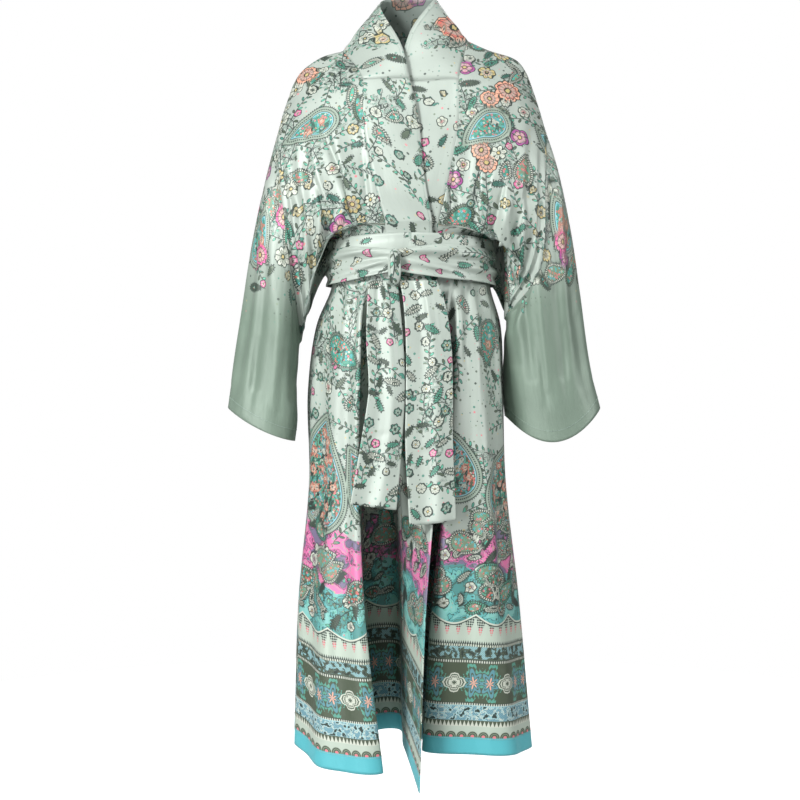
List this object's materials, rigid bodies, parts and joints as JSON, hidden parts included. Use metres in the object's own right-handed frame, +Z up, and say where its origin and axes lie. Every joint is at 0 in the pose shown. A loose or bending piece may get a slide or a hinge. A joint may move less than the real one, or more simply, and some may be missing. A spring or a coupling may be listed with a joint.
{
  "type": "yukata robe",
  "caption": "Long kimono-style robe as worn: printed satin, wide sleeves, standing collar with front bands, wrapped front and a tied belt of the same cloth.",
  "frame": {"origin": "between the shoulders at the base of the neck, where the worn robe hangs from its wearer", "axes": "+Z up, -Y the front of the robe, +X to the viewer's right, which is the wearer's left"},
  "size_m": [0.673, 0.3282, 1.4111],
  "materials": {
    "print": "printed satin",
    "plain": "plain sage satin with a printed shoulder",
    "belt": "sage satin"
  },
  "bodies": {
    "root": {"back": "print", "front_right": "print", "front_left": "print", "band_right": "print", "band_left": "print", "collar": "print", "sleeve_right": "plain", "sleeve_left": "plain", "belt_wrap": "belt", "belt_pass": "belt", "belt_knot": "belt", "belt_end_right": "belt", "belt_end_left": "belt"}
  },
  "joints": []
}
